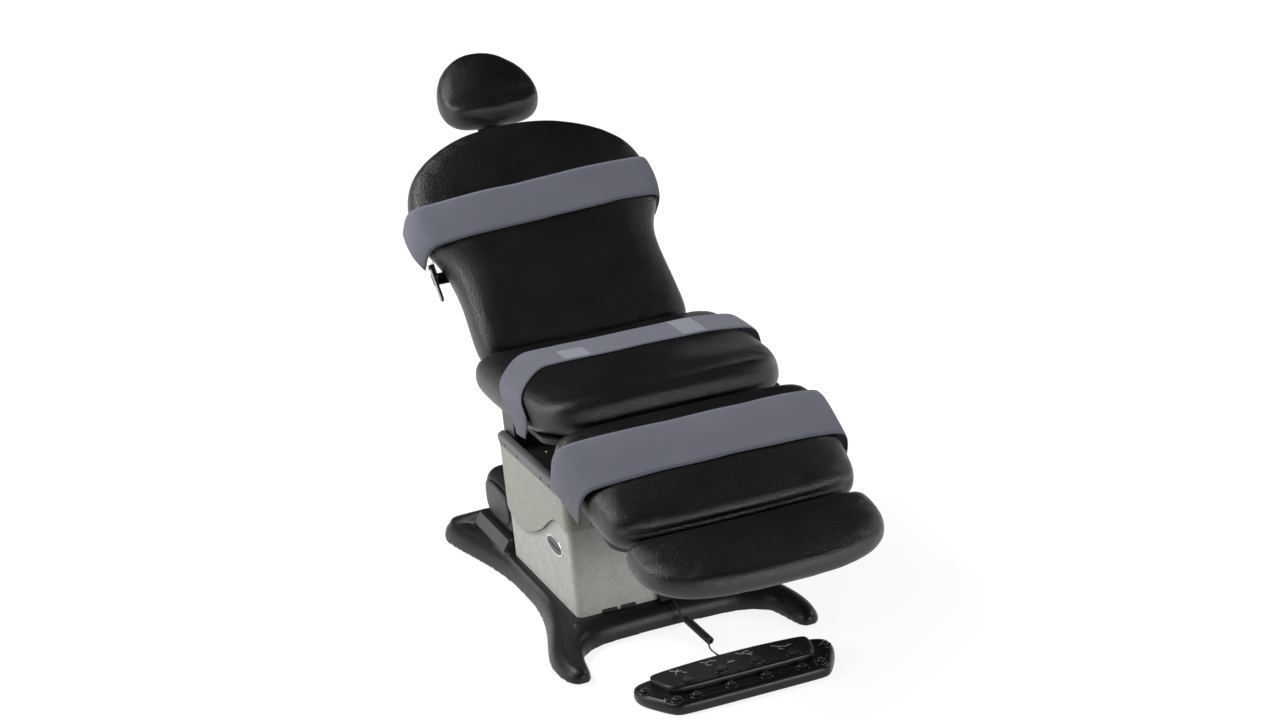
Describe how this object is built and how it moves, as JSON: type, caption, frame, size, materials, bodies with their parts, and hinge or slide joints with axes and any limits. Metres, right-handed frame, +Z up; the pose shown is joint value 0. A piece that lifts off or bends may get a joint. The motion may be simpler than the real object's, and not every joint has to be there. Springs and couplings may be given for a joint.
{
  "type": "procedure chair",
  "caption": "Powered procedure chair: padded seat, reclining back with headrest, hinged leg and foot rests, lift column and foot control.",
  "frame": {"origin": "on the floor, at the centre of the footprint of the chair and its foot control", "axes": "+X across the chair towards its right side as seen from the foot end, +Y towards the head, +Z up"},
  "size_m": [0.629, 1.7972, 1.1811],
  "materials": {
    "upholstery": "black vinyl upholstery with a fine grain",
    "strap_webbing": "grey woven webbing",
    "cover_black": "black moulded plastic, satin",
    "shell_grey": "pale grey moulded shell with a fine speckle",
    "panel_grey": "mid grey moulded plastic",
    "frame_steel": "black powder coat",
    "rail_paint": "dark grey paint",
    "bright_steel": "ground steel",
    "chrome_trim": "bright chrome",
    "board": "board faced in black",
    "cord_rubber": "black rubber",
    "control_plastic": "black moulded plastic"
  },
  "bodies": {
    "base": {"base_cover": "cover_black", "base_plate": "bright_steel", "levelling_feet": "cord_rubber", "lower_shroud": "shell_grey", "oval_cap": "chrome_trim", "rear_pod": "cover_black", "access_panel": "panel_grey", "mains_inlet": "control_plastic", "cord_socket": "control_plastic", "column_fixed": "bright_steel", "control_tray": "control_plastic", "control_deck": "control_plastic", "cord_gland": "cord_rubber", "curly_cord": "cord_rubber"},
    "stage_two": {"second_shroud": "shell_grey", "column_middle": "bright_steel"},
    "lift": {"upper_shroud": "shell_grey", "third_shroud": "shell_grey", "column_lift": "bright_steel", "chassis_tray": "frame_steel", "chassis_rails": "rail_paint", "rail_screws": "control_plastic", "tilt_pins": "bright_steel"},
    "tilt_actuator": {"tilt_motor": "frame_steel"},
    "tilt_push_rod": {"tilt_rod": "bright_steel"},
    "seat": {"seat_frame": "frame_steel", "seat_pan": "board", "seat_cushion": "upholstery", "seat_strap": "strap_webbing", "hinge_pins": "bright_steel", "back_motor": "frame_steel", "leg_motor": "frame_steel"},
    "back_push_rod": {"back_rod": "bright_steel"},
    "leg_push_rod": {"leg_rod": "bright_steel"},
    "back": {"back_frame": "frame_steel", "back_pan": "board", "back_cushion": "upholstery", "back_strap": "strap_webbing"},
    "lever": {"release_lever": "chrome_trim"},
    "head_slide": {"headrest_bar": "bright_steel"},
    "headrest": {"headrest_plate": "frame_steel", "headrest_cushion": "upholstery"},
    "leg": {"leg_frame": "frame_steel", "leg_pan": "board", "leg_cushion": "upholstery", "leg_strap": "strap_webbing"},
    "foot": {"foot_frame": "frame_steel", "foot_cushion": "upholstery"},
    "upper_button_1_key": {"upper_button_1": "control_plastic"},
    "upper_button_2_key": {"upper_button_2": "control_plastic"},
    "upper_button_3_key": {"upper_button_3": "control_plastic"},
    "upper_button_4_key": {"upper_button_4": "control_plastic"},
    "lower_button_1_key": {"lower_button_1": "control_plastic"},
    "lower_button_2_key": {"lower_button_2": "control_plastic"},
    "lower_button_3_key": {"lower_button_3": "control_plastic"},
    "lower_button_4_key": {"lower_button_4": "control_plastic"},
    "end_button_1_key": {"end_button_1": "control_plastic"},
    "end_button_2_key": {"end_button_2": "control_plastic"},
    "end_button_3_key": {"end_button_3": "control_plastic"},
    "end_button_4_key": {"end_button_4": "control_plastic"}
  },
  "joints": [
    {"name": "lift", "type": "slide", "parent": "base", "child": "lift", "axis": [0, 0, 1], "range_m": [-0.065, 0.26]},
    {"name": "second_stage", "type": "slide", "parent": "base", "child": "stage_two", "axis": [0, 0, 1], "range_m": [-0.0325, 0.13]},
    {"name": "seat_tilt", "type": "hinge", "parent": "lift", "child": "seat", "pos_m": [0, 0.278, 0.478], "axis": [-1, 0, 0], "range_deg": [0, 30]},
    {"name": "tilt_motor_swing", "type": "hinge", "parent": "lift", "child": "tilt_actuator", "pos_m": [0, 0.173, 0.402], "axis": [-1, 0, 0], "range_deg": [0, 34]},
    {"name": "tilt_rod_slide", "type": "slide", "parent": "tilt_actuator", "child": "tilt_push_rod", "axis": [0, -0.9546, 0.2979], "range_m": [0, 0.0633]},
    {"name": "back_recline", "type": "hinge", "parent": "seat", "child": "back", "pos_m": [0, 0.217, 0.618], "axis": [1, 0, 0], "range_deg": [-43, 38]},
    {"name": "back_rod_slide", "type": "slide", "parent": "seat", "child": "back_push_rod", "axis": [0, 0.9961, 0.088], "range_m": [-0.0616, 0.0545]},
    {"name": "leg_fold", "type": "hinge", "parent": "seat", "child": "leg", "pos_m": [0, -0.337, 0.532], "axis": [1, 0, 0], "range_deg": [-22, 42]},
    {"name": "leg_rod_slide", "type": "slide", "parent": "seat", "child": "leg_push_rod", "axis": [0, -0.9952, -0.0977], "range_m": [-0.0558, 0.0293]},
    {"name": "foot_slide", "type": "slide", "parent": "leg", "child": "foot", "axis": [0, -0.9272, -0.3746], "range_m": [0, 0.15]},
    {"name": "headrest_slide", "type": "slide", "parent": "back", "child": "head_slide", "axis": [0, 0.7314, 0.682], "range_m": [0, 0.1]},
    {"name": "headrest_tilt", "type": "hinge", "parent": "head_slide", "child": "headrest", "pos_m": [0, 0.82601, 1.03824], "axis": [1, 0, 0], "range_deg": [-35, 10]},
    {"name": "release_lever", "type": "hinge", "parent": "back", "child": "lever", "pos_m": [-0.292, 0.42645, 0.7805], "axis": [1, 0, 0], "range_deg": [0, 35], "stiffness_Nm_per_rad": 1.2, "springref_deg": -5.73},
    {"name": "upper_button_1_press", "type": "slide", "parent": "base", "child": "upper_button_1_key", "axis": [0, 0, -1], "range_m": [0, 0.003], "stiffness_N_per_m": 600, "springref_m": -0.0005},
    {"name": "upper_button_2_press", "type": "slide", "parent": "base", "child": "upper_button_2_key", "axis": [0, 0, -1], "range_m": [0, 0.003], "stiffness_N_per_m": 600, "springref_m": -0.0005},
    {"name": "upper_button_3_press", "type": "slide", "parent": "base", "child": "upper_button_3_key", "axis": [0, 0, -1], "range_m": [0, 0.003], "stiffness_N_per_m": 600, "springref_m": -0.0005},
    {"name": "upper_button_4_press", "type": "slide", "parent": "base", "child": "upper_button_4_key", "axis": [0, 0, -1], "range_m": [0, 0.003], "stiffness_N_per_m": 600, "springref_m": -0.0005},
    {"name": "lower_button_1_press", "type": "slide", "parent": "base", "child": "lower_button_1_key", "axis": [0, 0, -1], "range_m": [0, 0.003], "stiffness_N_per_m": 600, "springref_m": -0.0005},
    {"name": "lower_button_2_press", "type": "slide", "parent": "base", "child": "lower_button_2_key", "axis": [0, 0, -1], "range_m": [0, 0.003], "stiffness_N_per_m": 600, "springref_m": -0.0005},
    {"name": "lower_button_3_press", "type": "slide", "parent": "base", "child": "lower_button_3_key", "axis": [0, 0, -1], "range_m": [0, 0.003], "stiffness_N_per_m": 600, "springref_m": -0.0005},
    {"name": "lower_button_4_press", "type": "slide", "parent": "base", "child": "lower_button_4_key", "axis": [0, 0, -1], "range_m": [0, 0.003], "stiffness_N_per_m": 600, "springref_m": -0.0005},
    {"name": "end_button_1_press", "type": "slide", "parent": "base", "child": "end_button_1_key", "axis": [0, 0, -1], "range_m": [0, 0.003], "stiffness_N_per_m": 600, "springref_m": -0.0005},
    {"name": "end_button_2_press", "type": "slide", "parent": "base", "child": "end_button_2_key", "axis": [0, 0, -1], "range_m": [0, 0.003], "stiffness_N_per_m": 600, "springref_m": -0.0005},
    {"name": "end_button_3_press", "type": "slide", "parent": "base", "child": "end_button_3_key", "axis": [0, 0, -1], "range_m": [0, 0.003], "stiffness_N_per_m": 600, "springref_m": -0.0005},
    {"name": "end_button_4_press", "type": "slide", "parent": "base", "child": "end_button_4_key", "axis": [0, 0, -1], "range_m": [0, 0.003], "stiffness_N_per_m": 600, "springref_m": -0.0005}
  ],
  "couplings": [
    {"joint": "second_stage", "follows": "lift", "ratio": 0.5},
    {"joint": "tilt_motor_swing", "follows": "seat_tilt", "ratio": 1.133},
    {"joint": "tilt_rod_slide", "follows": "seat_tilt", "m_per_rad": 0.1207},
    {"joint": "back_rod_slide", "follows": "back_recline", "m_per_rad": 0.082},
    {"joint": "leg_rod_slide", "follows": "leg_fold", "m_per_rad": -0.076}
  ]
}
